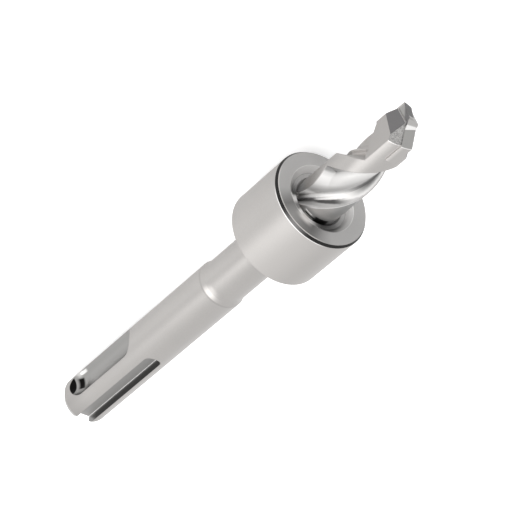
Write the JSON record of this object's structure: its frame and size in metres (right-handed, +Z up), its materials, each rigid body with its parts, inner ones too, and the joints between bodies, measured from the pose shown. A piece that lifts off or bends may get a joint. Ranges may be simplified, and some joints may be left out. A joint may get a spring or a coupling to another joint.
{
  "type": "masonry drill bit",
  "caption": "Stop drill bit for a rotary hammer: grooved shank, pressed-on depth collar, helical flutes and a brazed cutting plate.",
  "frame": {"origin": "on the surface that the bit lies on, below the middle of its bounding box", "axes": "+X towards the cutting tip, +Z up, so that the drill's axis rises about 4 degrees towards the tip"},
  "size_m": [0.1124, 0.02, 0.021],
  "materials": {
    "drill_steel": "sand-blasted and polished hardened steel",
    "collar_steel": "satin turned steel",
    "carbide": "ground hard metal"
  },
  "bodies": {
    "root": {"drill_body": "drill_steel", "stop_collar": "collar_steel", "carbide_tip": "carbide"}
  },
  "joints": []
}
